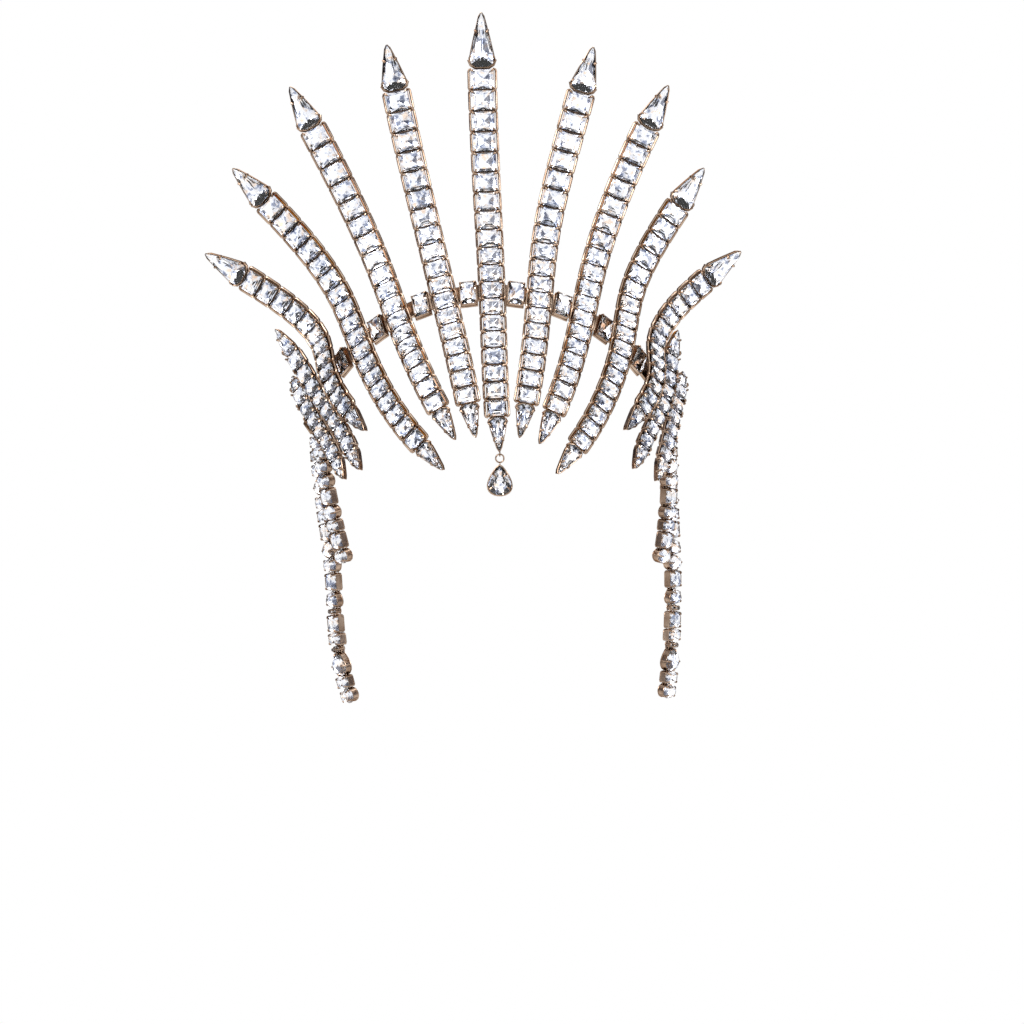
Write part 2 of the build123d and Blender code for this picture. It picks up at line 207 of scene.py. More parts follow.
def flatSolids(node):
    # a node's separate solids, each a list of (normal, corners, area) for its flat faces
    mesh = bmesh.new()
    mesh.from_mesh(node.data)
    bmesh.ops.remove_doubles(mesh, verts=mesh.verts, dist=weld)
    bmesh.ops.dissolve_limit(mesh, angle_limit=flatAngle, verts=mesh.verts[:], edges=mesh.edges[:])
    mesh.normal_update()
    solids, seen = [], set()
    for start in mesh.faces:
        if start in seen:
            continue
        seen.add(start)
        waiting, solid = [start], []
        while waiting:
            face = waiting.pop()
            solid.append((face.normal.copy(), [v.co.copy() for v in face.verts], face.calc_area()))
            for edge in face.edges:
                for other in edge.link_faces:
                    if other not in seen:
                        seen.add(other)
                        waiting.append(other)
        solids.append(solid)
    mesh.free()
    return solids


def middleOf(corners):
    return sum(corners, Vector()) / len(corners)


def sidesOf(corners):
    return [corners[(i + 1) % len(corners)] - corner for i, corner in enumerate(corners)]


def backOf(solid):
    # the largest face of a stone or setting is its back: its middle, the way the stone faces, its corners
    normal, corners, size = max(solid, key=lambda face: face[2])
    return middleOf(corners), -normal, corners


def climbing(found):
    # a chain's members from the lowest up: the way up the chain in its own plane, its facing, its corners
    found = sorted(found, key=lambda one: one[0].z)
    last = len(found) - 1
    members = []
    for i, (middle, outward, corners) in enumerate(found):
        way = (found[min(i + 1, last)][0] - found[max(i - 1, 0)][0]).normalized()
        members.append(((way - outward * way.dot(outward)).normalized(), outward, corners))
    return members


def squareSeat(corners, outward, upward):
    # a seat that is turned so that one of its edges runs upward
    along = max(sidesOf(corners), key=lambda side: abs(side.normalized().dot(upward))).normalized()
    if along.dot(upward) < 0:
        along.negate()
    return turnedSeat(corners, outward, along)


def turnedSeat(corners, outward, along):
    # a seat for a stone: its middle and directions, and its outline in across and along
    across = along.cross(outward).normalized()
    rough = middleOf(corners)
    us = [(c - rough).dot(across) for c in corners]
    vs = [(c - rough).dot(along) for c in corners]
    middle = rough + across * ((max(us) + min(us)) / 2) + along * ((max(vs) + min(vs)) / 2)
    outline = [((c - middle).dot(across), (c - middle).dot(along)) for c in corners]
    if area(outline) < 0:
        outline.reverse()
    return dict(middle=middle, across=across, along=along, outward=outward, outline=outline)


def pointedSeat(corners, outward):
    # the shortest edge of a pointed stone is its tip
    count = len(corners)
    tip = min(range(count), key=lambda i: (corners[(i + 1) % count] - corners[i]).length)
    head = (corners[tip] + corners[(tip + 1) % count]) / 2
    foot = (corners[(tip + count // 2) % count] + corners[(tip + count // 2 + 1) % count]) / 2
    return turnedSeat(corners, outward, (head - foot).normalized())


def seatsOf(node, share):
    # seats of a node's loose stones from the lowest up; share is the back's size against the girdle's
    return [
        grown(squareSeat(corners, outward, way), 1 / share)
        for way, outward, corners in climbing(backOf(solid) for solid in flatSolids(node))
    ]


def grown(seat, scale):
    return dict(seat, outline=scaled(seat["outline"], scale))


def halfSize(seat):
    return max(u for u, v in seat["outline"]), max(v for u, v in seat["outline"])


def spot(seat, u, v, w):
    return seat["middle"] + seat["across"] * u + seat["along"] * v + seat["outward"] * w


def ringAt(seat, outline, height):
    return [spot(seat, u, v, height) for u, v in outline]


# outlines

def edgesOf(outline):
    return zip(outline, outline[1:] + outline[:1])


def area(outline):
    return sum(a[0] * b[1] - b[0] * a[1] for a, b in edgesOf(outline)) / 2


def scaled(outline, share):
    return [(u * share, v * share) for u, v in outline]


def edgeMiddles(outline):
    return [((a[0] + b[0]) / 2, (a[1] + b[1]) / 2) for a, b in edgesOf(outline)]


def offset(outline, distance, sharpest=0.5):
    # moves every edge of a counter-clockwise outline outward; sharp corners move at most twice as far
    moved, count = [], len(outline)
    for i, (u, v) in enumerate(outline):
        before, after = outline[i - 1], outline[(i + 1) % count]
        sideBefore = Vector((v - before[1], before[0] - u)).normalized()
        sideAfter = Vector((after[1] - v, u - after[0])).normalized()
        both = (sideBefore + sideAfter).normalized()
        step = distance / max(both.dot(sideBefore), sharpest)
        moved.append((u + both.x * step, v + both.y * step))
    return moved


def cutCorners(outline, cut, most=0.45):
    # every corner becomes two, and takes at most this share of an edge
    made, count = [], len(outline)
    for i, (u, v) in enumerate(outline):
        before, after = outline[i - 1], outline[(i + 1) % count]
        for to in (before, after):
            long = math.hypot(to[0] - u, to[1] - v)
            share = min(cut / long, most)
            made.append((u + (to[0] - u) * share, v + (to[1] - v) * share))
    return made


def softened(outline, near=0.75, far=0.25):
    # a rounder outline with twice the corners
    made = []
    for a, b in edgesOf(outline):
        made.append((a[0] * near + b[0] * far, a[1] * near + b[1] * far))
        made.append((a[0] * far + b[0] * near, a[1] * far + b[1] * near))
    return made


def splitLong(outline, longest):
    # long edges get points along them, so that their facets stay small
    made = []
    for a, b in edgesOf(outline):
        parts = max(1, round(math.hypot(b[0] - a[0], b[1] - a[1]) / longest))
        for k in range(parts):
            made.append((a[0] + (b[0] - a[0]) * k / parts, a[1] + (b[1] - a[1]) * k / parts))
    return made


# mesh work

def newWork():
    return dict(points=[], faces=[], finish=[])


def addFace(work, ring, finish):
    first = len(work["points"])
    work["points"] += [tuple(point) for point in ring]
    work["faces"].append(tuple(range(first, first + len(ring))))
    work["finish"].append(finish)


def loft(work, rings, finish=gilt, closeStart=False, closeEnd=False, joined=False):
    # skins rings of equal count
    first, count = len(work["points"]), len(rings[0])
    for ring in rings:
        work["points"] += [tuple(point) for point in ring]
    spans = len(rings) if joined else len(rings) - 1
    for r in range(spans):
        low, high = first + r * count, first + (r + 1) % len(rings) * count
        for i in range(count):
            j = (i + 1) % count
            work["faces"].append((low + i, low + j, high + j, high + i))
            work["finish"].append(finish)
    if closeStart:
        work["faces"].append(tuple(first + i for i in reversed(range(count))))
        work["finish"].append(finish)
    if closeEnd:
        work["faces"].append(tuple(first + (len(rings) - 1) * count + i for i in range(count)))
        work["finish"].append(finish)


def zigzag(work, low, high, finish):
    # triangles between two rings, where the high ring is half a step on
    first, count = len(work["points"]), len(low)
    work["points"] += [tuple(point) for point in low + high]
    for i in range(count):
        j = (i + 1) % count
        work["faces"].append((first + i, first + j, first + count + i))
        work["faces"].append((first + count + i, first + j, first + count + j))
        work["finish"] += [finish, finish]


def wire(work, path, radius, sides=6, joined=False, flat=1.0, normal=None):
    # a round wire along points, with one radius or one for each; flat stretches it along the normal
    radii = radius if isinstance(radius, (list, tuple)) else [radius] * len(path)
    count = len(path)
    side = normal.copy() if normal else None
    rings = []
    for i, point in enumerate(path):
        ahead = path[(i + 1) % count] if joined else path[min(i + 1, count - 1)]
        behind = path[i - 1] if joined or i else path[0]
        way = (ahead - behind).normalized()
        if side is None:
            side = way.orthogonal().normalized()
        side = (side - way * side.dot(way)).normalized()
        other = way.cross(side)
        rings.append([
            point + side * (math.cos(a) * radii[i] * flat) + other * (math.sin(a) * radii[i])
            for a in [2 * math.pi * k / sides for k in range(sides)]
        ])
    loft(work, rings, gilt, closeStart=not joined, closeEnd=not joined, joined=joined)


def ringEye(work, centre, radius, wireRadius, first, second, steps=28):
    # a round eye of wire in the plane of two directions
    turns = [2 * math.pi * i / steps for i in range(steps)]
    path = [centre + first * (radius * math.cos(a)) + second * (radius * math.sin(a)) for a in turns]
    wire(work, path, wireRadius, sides=10, joined=True, normal=first.cross(second))


def hoopWall(work, seat, outline, thickness, low, high, closeBack=False):
    # an open box around an outline: inner wall, rim and outer wall
    outer = offset(outline, thickness)
    steps = ((outline, low), (outline, high), (outer, high), (outer, low))
    rings = [ringAt(seat, shape, height) for shape, height in steps]
    loft(work, rings, gilt, closeEnd=closeBack, joined=not closeBack)


# shares of the stone's outline and height, but for the edge; thin takes depth from a pointed stone's tip
plainCut = dict(
    table=0.56, waist=0.84, waistHigh=0.62, edge=0.18 * mm, belly=0.62, bellyLonger=0.25, bellyDeep=0.55,
    keel=(0.1, 0.1), thin=0.0,
)
pointedCut = dict(plainCut, waist=0.82, keel=(0.1, 0.62), thin=0.85)


def cutStone(work, seat, outline, girdle, rise, depth, cut=plainCut):
    # crown of facets with a table, a girdle, and a silvered back of facets
    middles = edgeMiddles(outline)
    half = ringAt(seat, scaled(middles, cut["waist"]), girdle + (rise - girdle) * cut["waistHigh"])
    zigzag(work, ringAt(seat, outline, girdle), half, crystal)
    table = ringAt(seat, scaled(outline, cut["table"]), rise)
    table = table[1:] + table[:1]
    zigzag(work, half, table, crystal)
    addFace(work, table, crystal)
    low = girdle - cut["edge"]
    loft(work, [ringAt(seat, outline, low), ringAt(seat, outline, girdle)], crystal)
    reach = max(v for u, v in outline)

    def sunk(u, v, share):
        return spot(seat, u, v, low - depth * share * (1 - cut["thin"] * max(v / reach, 0)))

    across, along = cut["keel"]
    longer = cut["belly"] + along * cut["bellyLonger"]
    belly = [sunk(u * cut["belly"], v * longer, cut["bellyDeep"]) for u, v in middles]
    keel = [sunk(u * across, v * along, 1.0) for u, v in outline]
    keel = keel[1:] + keel[:1]
    start = len(work["faces"])
    zigzag(work, ringAt(seat, outline, low), belly, foil)
    zigzag(work, belly, keel, foil)
    addFace(work, keel, foil)
    for i in range(start, len(work["faces"])):
        work["faces"][i] = tuple(reversed(work["faces"][i]))


# a prong from its foot on: share of its reach, share of its height, and thickness
clawBend = ((0, 0, 1.0), (0, 0.62, 1.0), (0.25, 0.9, 1.05), (1.0, 1.0, 0.95))
clawTip = 0.5


def claw(work, seat, u, v, low, high, reach, radius):
    # a prong at (u, v) that bends over the stone towards its middle
    inward = Vector((-u, -v)).normalized()
    path, radii = [], []
    for over, height, thickness in clawBend:
        across, along = u + inward.x * reach * over, v + inward.y * reach * over
        path.append(spot(seat, across, along, low + (high - low) * height))
        radii.append(radius * thickness)
    path.append(path[-1] + (path[-1] - path[-2]).normalized() * radius * clawTip)
    radii.append(radius * clawTip)
    wire(work, path, radii)


# shading breaks at edges sharper than this, and points nearer than this in metres are joined
sharpDegrees = 42
fineWeld = 1e-7


def smoothOver(mesh, degrees):
    mesh.polygons.foreach_set("use_smooth", [True] * len(mesh.polygons))
    mesh.set_sharp_from_angle(angle=math.radians(degrees))


def finishPiece(name, work, body, replaced, smooth=False):
    mesh = bpy.data.meshes.new(name)
    mesh.from_pydata(work["points"], [], work["faces"])
    mesh.polygons.foreach_set("material_index", work["finish"])
    for material in finishes:
        mesh.materials.append(material)
    merged = bmesh.new()
    merged.from_mesh(mesh)
    bmesh.ops.remove_doubles(merged, verts=merged.verts, dist=fineWeld)
    bmesh.ops.recalc_face_normals(merged, faces=merged.faces)
    merged.to_mesh(mesh)
    merged.free()
    if smooth:
        smoothOver(mesh, sharpDegrees)
    piece = bpy.data.objects.new(name, mesh)
    bpy.context.scene.collection.objects.link(piece)
    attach(piece, body)
    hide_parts(*replaced)


# quills

# wallCorner is a share of cornerCut, clawLow of wallLow, railStart and jointWidth of a link's half width,
# railSoft of railEnd, jointTop of jointHalf and spineBack of spineHalf
quill = dict(
    seatShare=0.96, gap=0.17 * mm, cornerCut=0.8 * mm, facetLength=4.2 * mm, pointRound=1.5 * mm,
    girdle=0.7 * mm, rise=1.9 * mm, stoneDepth=1.45 * mm,
    wall=0.2 * mm, wallLow=-2.2 * mm, wallHigh=0.1 * mm, wallCorner=0.7,
    railRadius=0.56 * mm, railOut=1.72 * mm, railDrop=-0.5 * mm, railEnd=0.9 * mm, railOver=0.1 * mm,
    railStart=0.97, railSoft=0.3, railFlat=1.4,
    clawRadius=0.46 * mm, clawReach=1.1 * mm, clawHigh=1.65 * mm, clawLow=0.5, clawOut=0.05 * mm,
    clawIn=0.25 * mm,
    jointHalf=0.42 * mm, jointHigh=0.25 * mm, jointLow=-1.9 * mm, jointRound=0.1 * mm, jointWidth=0.98,
    jointTop=0.5,
    spineHalf=1.7 * mm, spineLow=-2.75 * mm, spineHigh=-2.1 * mm, spineRound=0.2 * mm, spineBack=0.8,
)


def linkOutline(seat, look, cut):
    # a link's outline with its corners cut, short of the next link by the gap
    share = 1 - look["gap"] / halfSize(seat)[1]
    return [(u, v * share) for u, v in cutCorners(seat["outline"], cut)]


def linkMetal(work, seat, look):
    # a thin box, four claws and a bracket of wire on each side
    half, long = halfSize(seat)
    outline = linkOutline(seat, look, look["cornerCut"] * look["wallCorner"])
    hoopWall(work, seat, outline, look["wall"], look["wallLow"], look["wallHigh"], closeBack=True)
    out, end = half + look["railOut"] - look["railRadius"], long + look["railOver"]
    bend, soft = look["railEnd"], look["railEnd"] * look["railSoft"]
    start = half * look["railStart"]
    lower = [(start, -end), (out - bend, -end), (out - soft, -end + soft), (out, -end + bend)]
    bracket = lower + [(u, -v) for u, v in reversed(lower)]
    for side in (-1, 1):
        for tip in (-1, 1):
            u, v = side * (half + look["clawOut"]), tip * (long - look["clawIn"])
            claw(work, seat, u, v, look["wallLow"] * look["clawLow"], look["clawHigh"], look["clawReach"],
                 look["clawRadius"])
        path = ringAt(seat, [(side * u, v) for u, v in bracket], look["railDrop"])
        wire(work, path, look["railRadius"], sides=8, flat=look["railFlat"], normal=seat["outward"])


def linkStone(work, seat, look):
    outline = linkOutline(seat, look, look["cornerCut"])
    cutStone(work, seat, outline, look["girdle"], look["rise"], look["stoneDepth"])


def joint(work, low, high, look):
    # the dark bar in the parting between two links, painted shade put where there is only shadow
    a = spot(low, 0, halfSize(low)[1], 0)
    b = spot(high, 0, -halfSize(high)[1], 0)
    here = dict(low, middle=(a + b) / 2)
    half, thick = halfSize(low)[0] * look["jointWidth"], look["jointHalf"]
    top, foot, flat = look["jointHigh"], look["jointLow"], thick * look["jointTop"]
    shoulder = top - look["jointRound"]
    section = (
        (-thick, foot), (thick, foot), (thick, shoulder), (flat, top), (-flat, top), (-thick, shoulder),
    )
    rings = [[spot(here, u * half, v, w) for v, w in section] for u in (-1, 1)]
    loft(work, rings, partingShade, closeStart=True, closeEnd=True)


def spine(work, seats, look):
    # the flat wire that holds the boxes together at the back
    half, low, high = look["spineHalf"], look["spineLow"], look["spineHigh"]
    edge, flat = low + look["spineRound"], half * look["spineBack"]
    section = ((-half, edge), (-flat, low), (flat, low), (half, edge), (half, high), (-half, high))
    first, last = seats[0], seats[-1]
    start = dict(first, middle=spot(first, 0, -halfSize(first)[1], 0))
    end = dict(last, middle=spot(last, 0, halfSize(last)[1], 0))
    rings = [[spot(here, u, 0, w) for u, w in section] for here in [start] + seats + [end]]
    loft(work, rings, gilt, closeStart=True, closeEnd=True)


def linkRow(metal, stones, seats, look):
    for seat in seats:
        linkMetal(metal, seat, look)
        linkStone(stones, seat, look)
    spine(metal, seats, look)
    for low, high in zip(seats, seats[1:]):
        joint(metal, low, high, look)


# claws and shoulder are shares of the stone's half width and half length
pointed = dict(
    rim=1.2, edgeOut=0.9, edgeDrop=0.05 * mm, edgeRadius=0.3 * mm,
    claws=((1.0, -0.68), (0.52, 0.36)), clawOut=0.5, clawLow=0.3, clawScale=1.1,
    shoulder=((0.95, 0.92), (1.12, 0.72)), baseHalf=0.6, baseDrop=0.3 * mm, railFlat=1.5,
)


def pointedMetal(work, seat, look):
    # a wire-edged box around a pointed stone, with claws at its shoulders and near its tip
    outline = cutCorners(seat["outline"], look["pointRound"])
    half, long = halfSize(seat)
    rim = look["wall"] * pointed["rim"]
    hoopWall(work, seat, outline, rim, look["wallLow"], look["wallHigh"], closeBack=True)
    edge = offset(outline, rim * pointed["edgeOut"])
    path = ringAt(seat, edge, look["wallHigh"] - pointed["edgeDrop"])
    wire(work, path, pointed["edgeRadius"], joined=True)
    reach, radius = look["clawReach"] * pointed["clawScale"], look["clawRadius"] * pointed["clawScale"]
    for share, height in pointed["claws"]:
        for side in (-1, 1):
            u = side * (half * share + rim * pointed["clawOut"])
            claw(work, seat, u, height * long, look["wallLow"] * pointed["clawLow"], look["clawHigh"],
                 reach, radius)
    # the shoulder that joins the box to the next link
    base = [(half * pointed["baseHalf"], -long - pointed["baseDrop"])]
    base += [(half * u, -long * v) for u, v in pointed["shoulder"]]
    path = ringAt(seat, [(-u, v) for u, v in reversed(base)] + base, look["railDrop"])
    wire(work, path, look["railRadius"], sides=8, flat=pointed["railFlat"], normal=seat["outward"])


def pointedStone(work, seat, look):
    outline = splitLong(cutCorners(seat["outline"], look["pointRound"]), look["facetLength"])
    cutStone(work, seat, outline, look["girdle"], look["rise"], look["stoneDepth"], pointedCut)


# the centre quill carries the pendant's eye; edgeOut is a share of the wall, claws of the stone's half size
pendant = dict(
    seatShare=0.96, girdle=0.5 * mm, rise=2.0 * mm, depth=2.4 * mm, table=0.5,
    eyeRadius=0.9 * mm, eyeWire=0.3 * mm, ringWire=0.35 * mm, ringSteps=40,
    wall=0.35 * mm, wallLow=-2.9 * mm, wallHigh=0.4 * mm, edgeOut=0.7, edgeRadius=0.3 * mm,
    claws=((0.52, 0.42), (0.86, -0.62)), clawRadius=0.42 * mm, clawReach=1.5 * mm, clawLow=-1.0 * mm,
    clawHigh=1.7 * mm,
)


def makeLongQuill(name):
    seats = seatsOf(nodes[f"quill_stones_{name}"], quill["seatShare"])
    metal, stones = newWork(), newWork()
    linkRow(metal, stones, seats, quill)
    endStones = []
    for part in ("top_stone", "foot_stone"):
        middle, outward, corners = backOf(flatSolids(nodes[f"{part}_{name}"])[0])
        seat = grown(pointedSeat(corners, outward), 1 / quill["seatShare"])
        pointedMetal(metal, seat, quill)
        endStones.append(newWork())
        pointedStone(endStones[-1], seat, quill)
    if name == "centre":
        eye = Vector(joints["ring_swing"]["pos_m"]) + up * pendant["eyeRadius"]
        ringEye(metal, eye, pendant["eyeRadius"], pendant["eyeWire"], back, up)
    finishPiece(f"settings_{name}", metal, "tiara", [f"quill_frame_{name}"], smooth=True)
    finishPiece(f"crystals_{name}", stones, "tiara", [f"quill_stones_{name}"])
    finishPiece(f"top_crystal_{name}", endStones[0], "tiara", [f"top_stone_{name}"])
    finishPiece(f"foot_crystal_{name}", endStones[1], "tiara", [f"foot_stone_{name}"])


for name in longQuills:
    makeLongQuill(name)
print("long quills made")


# temple quills

# the last row tells the stones' tables from the other faces of the solid
temple = dict(
    quill, tableShare=0.56, railOut=0.7 * mm, railRadius=0.34 * mm, cornerCut=1.3 * mm,
    facetLength=3.0 * mm,
    squareness=0.02, tableSide=(2.9 * mm, 4.8 * mm), pointTable=(4 * mm * mm, 26 * mm * mm), facing=0.85,
)


def isSquareTable(corners):
    sides = sidesOf(corners)
    lengths = [side.length for side in sides]
    shortest, longest = temple["tableSide"]
    if len(corners) != 4 or min(lengths) <= shortest or max(lengths) >= longest:
        return False
    turns = [abs(sides[i - 1].normalized().dot(side.normalized())) for i, side in enumerate(sides)]
    return max(turns) < temple["squareness"]


def isPointTable(corners, normal, size):
    smallest, largest = temple["pointTable"]
    return len(corners) == 8 and smallest < size < largest and bulges(corners, normal)


def bulges(corners, normal, slack=1e-9):
    # whether a face has no corner that turns inward
    sides = sidesOf(corners)
    turns = [sides[i - 1].cross(side).dot(normal) for i, side in enumerate(sides)]
    return min(turns) > -slack


def templeTables(node):
    # the tables of the stones in a temple quill: the squares, and the two eight-cornered ones at its ends
    squares, points = [], []
    for solid in flatSolids(node):
        for normal, corners, size in solid:
            if isSquareTable(corners):
                squares.append((middleOf(corners), normal, corners))
            elif isPointTable(corners, normal, size):
                points.append((middleOf(corners), normal, corners))
    facing = [
        one for one in points
        if min(squares, key=lambda other: (other[0] - one[0]).length)[1].dot(one[1]) > temple["facing"]
    ]
    facing.sort(key=lambda one: one[0].z)
    return squares, [facing[0], facing[-1]]


def underTable(seat):
    # the seat of the whole stone under a table
    middle = seat["middle"] - seat["outward"] * temple["rise"]
    return dict(grown(seat, 1 / temple["tableShare"]), middle=middle)


def makeTempleQuill(name):
    squares, points = templeTables(nodes[f"temple_quill_{name}"])
    metal, stones = newWork(), newWork()
    seats = [underTable(squareSeat(corners, outward, way)) for way, outward, corners in climbing(squares)]
    linkRow(metal, stones, seats, temple)
    for middle, outward, corners in points:
        seat = underTable(pointedSeat(corners, outward))
        pointedMetal(metal, seat, temple)
        pointedStone(stones, seat, temple)
    replaced = [f"temple_quill_{name}"]
    finishPiece(f"temple_settings_{name}", metal, "tiara", replaced, smooth=True)
    finishPiece(f"temple_crystals_{name}", stones, "tiara", replaced)


for name in templeQuills:
    makeTempleQuill(name)
print("temple quills made")


# strands

# clawRise is a share of the rise, clawShare of the half width
strand = dict(
    depth=4.6 * mm, girdle=3.7 * mm, rise=1.6 * mm, stoneDepth=1.6 * mm, stoneShare=0.97, table=0.54,
    cornerCut=0.9 * mm, roundShare=1.03, wall=0.3 * mm, wallLow=0.3 * mm, wallDrop=0.2 * mm,
    wireRadius=0.28 * mm, wireLow=0.35 * mm, wireDrop=0.3 * mm,
    clawRadius=0.4 * mm, clawReach=1.0 * mm, clawLow=0.2 * mm, clawRise=0.75, clawShare=0.3,
    linkRadius=0.85 * mm, linkWire=0.26 * mm, linkSpread=1.5 * mm, linkHigh=1.4 * mm, linkSteps=14,
)


def strandSetting(metal, seat, outline):
    # a deep box with a wire around its back and its front, and four claws
    look = strand
    inner = offset(outline, -look["wall"] - look["wireRadius"])
    front = look["girdle"] - look["wallDrop"]
    hoopWall(metal, seat, inner, look["wall"], look["wallLow"], front, closeBack=True)
    edge = offset(outline, -look["wireRadius"])
    for height in (look["wireLow"], look["girdle"] - look["wireDrop"]):
        wire(metal, ringAt(seat, edge, height), look["wireRadius"], joined=True)
    high = look["depth"] + look["rise"] * look["clawRise"]
    reach = min(look["clawReach"], halfSize(seat)[0] * look["clawShare"])
    for u, v in edgeMiddles(edge)[::len(edge) // 4][:4]:
        claw(metal, seat, u, v, look["clawLow"], high, reach, look["clawRadius"])


def strandRings(metal, low, high):
    # the pair of small rings between two settings
    look = strand
    a = spot(low, 0, halfSize(low)[1], look["linkHigh"])
    b = spot(high, 0, -halfSize(high)[1], look["linkHigh"])
    for side in (-1, 1):
        centre = (a + b) / 2 + low["across"] * (side * look["linkSpread"])
        ringEye(metal, centre, look["linkRadius"], look["linkWire"], low["along"], low["outward"],
                steps=look["linkSteps"])


def makeStrand(name):
    look = strand
    cut = dict(plainCut, table=look["table"])
    metal, stones, seats = newWork(), newWork(), []
    members = climbing(backOf(solid) for solid in flatSolids(nodes[f"strand_{name}"]))
    for way, outward, corners in members:
        if len(corners) == 4:
            seat = squareSeat(corners, outward, way)
            outline = cutCorners(seat["outline"], look["cornerCut"])
        else:
            seat = turnedSeat(corners, outward, way)
            outline = scaled(softened(seat["outline"]), look["roundShare"])
        seats.append(seat)
        strandSetting(metal, seat, outline)
        stone = scaled(outline, look["stoneShare"])
        cutStone(stones, seat, stone, look["girdle"], look["depth"] + look["rise"], look["stoneDepth"], cut)
    for low, high in zip(seats, seats[1:]):
        strandRings(metal, low, high)
    finishPiece(f"strand_settings_{name}", metal, "tiara", [f"strand_{name}"], smooth=True)
    finishPiece(f"strand_crystals_{name}", stones, "tiara", [f"strand_{name}"])


for name in strandNames:
    makeStrand(name)
print("strands made")


# headband

# sinkFrom and sinkTo bound the plain seats of the solid band, which sink under the stones
band = dict(
    seatShare=0.96, upright=Vector((0, 0.3, 1)), girdle=0.5 * mm, rise=1.45 * mm, stoneDepth=1.0 * mm,
    cornerCut=0.7 * mm, wallCut=0.5 * mm, wall=0.3 * mm, wallLow=-1.9 * mm, wallHigh=0.35 * mm,
    clawRadius=0.42 * mm, clawReach=1.1 * mm, clawHigh=1.2 * mm, clawIn=0.2 * mm,
    flatAngle=0.02, edgeRound=0.3 * mm, edgeProfile=0.6, edgeDegrees=35, smoothDegrees=50,
    sink=1.0 * mm, sinkMargin=0.7 * mm, sinkFrom=-0.5 * mm, sinkTo=0.1 * mm,
)


def bandSeats():
    seats = []
    for solid in flatSolids(nodes["band_stones"]):
        middle, outward, corners = backOf(solid)
        seats.append(grown(squareSeat(corners, outward, band["upright"]), 1 / band["seatShare"]))
    return seats


def sinkSeats(mesh, seats):
    look = band
    for vert in mesh.verts:
        for seat in seats:
            half, long = halfSize(seat)
            away = vert.co - seat["middle"]
            across, along = abs(away.dot(seat["across"])), abs(away.dot(seat["along"]))
            inside = across < half + look["sinkMargin"] and along < long + look["sinkMargin"]
            if inside and look["sinkFrom"] < away.dot(seat["outward"]) < look["sinkTo"]:
                vert.co -= seat["outward"] * look["sink"]
                break


def makeBandMetal(seats):
    # the solid band with rounded edges
    look = band
    rounded = nodes["headband"].copy()
    rounded.data = nodes["headband"].data.copy()
    rounded.name = "headband_metal"
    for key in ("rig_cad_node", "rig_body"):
        if key in rounded:
            del rounded[key]
    rounded.parent = None
    bpy.context.scene.collection.objects.link(rounded)
    mesh = bmesh.new()
    mesh.from_mesh(rounded.data)
    bmesh.ops.remove_doubles(mesh, verts=mesh.verts, dist=weld)
    bmesh.ops.dissolve_limit(mesh, angle_limit=look["flatAngle"], verts=mesh.verts[:], edges=mesh.edges[:])
    sinkSeats(mesh, seats)
    least = math.radians(look["edgeDegrees"])
    sharp = [edge for edge in mesh.edges if len(edge.link_faces) == 2 and edge.calc_face_angle() > least]
    bmesh.ops.bevel(
        mesh, geom=sharp, offset=look["edgeRound"], segments=2, profile=look["edgeProfile"], affect="EDGES",
        clamp_overlap=True,
    )
    mesh.to_mesh(rounded.data)
    mesh.free()
    rounded.data.materials.clear()
    rounded.data.materials.append(finishes[gilt])
    rounded.data.polygons.foreach_set("material_index", [0] * len(rounded.data.polygons))
    smoothOver(rounded.data, look["smoothDegrees"])
    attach(rounded, "tiara")
    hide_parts("headband")


def makeBandStones(seats):
    look = band
    metal, stones = newWork(), newWork()
    for seat in seats:
        half, long = halfSize(seat)
        hoopWall(metal, seat, cutCorners(seat["outline"], look["wallCut"]), look["wall"], look["wallLow"],
                 look["wallHigh"])
        for side in (-1, 1):
            for tip in (-1, 1):
                u, v = side * half, tip * (long - look["clawIn"])
                claw(metal, seat, u, v, look["wallLow"], look["clawHigh"], look["clawReach"],
                     look["clawRadius"])
        outline = cutCorners(seat["outline"], look["cornerCut"])
        cutStone(stones, seat, outline, look["girdle"], look["rise"], look["stoneDepth"])
    finishPiece("band_settings", metal, "tiara", ["headband"], smooth=True)
    finishPiece("band_crystals", stones, "tiara", ["band_stones"])


stoneSeats = bandSeats()
makeBandMetal(stoneSeats)
makeBandStones(stoneSeats)
print("headband made")


# forehead pendant

def makeJumpRing():
    low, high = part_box("pendant_ring")
    ring = newWork()
    radius = (high.x - low.x) / 2 - pendant["ringWire"]
    ringEye(ring, (low + high) / 2, radius, pendant["ringWire"], right, up, steps=pendant["ringSteps"])
    finishPiece("jump_ring_wire", ring, "jump_ring", ["pendant_ring"], smooth=True)


def makeDrop():
    look = pendant
    middle, outward, corners = backOf(flatSolids(nodes["pendant_stone"])[0])
    seat = grown(turnedSeat(corners, outward, up), 1 / look["seatShare"])
    metal, stone = newWork(), newWork()
    fine = softened(seat["outline"])
    hoopWall(metal, seat, fine, look["wall"], look["wallLow"], look["wallHigh"], closeBack=True)
    edge = offset(fine, look["wall"] * look["edgeOut"])
    wire(metal, ringAt(seat, edge, look["wallHigh"]), look["edgeRadius"], sides=8, joined=True)
    half, long = halfSize(seat)
    for u, v in look["claws"]:
        for side in (-1, 1):
            claw(metal, seat, side * u * half, v * long, look["clawLow"], look["clawHigh"],
                 look["clawReach"], look["clawRadius"])
    eye = Vector(joints["drop_swing"]["pos_m"]) - up * look["eyeRadius"]
    ringEye(metal, eye, look["eyeRadius"], look["eyeWire"], back, up)
    finishPiece("drop_setting", metal, "drop", ["pendant_setting"], smooth=True)
    cutStone(stone, seat, seat["outline"], look["girdle"], look["rise"], look["depth"],
             dict(plainCut, table=look["table"]))
    finishPiece("drop_crystal", stone, "drop", ["pendant_stone"])


makeJumpRing()
makeDrop()
print("pendant made")


# studio

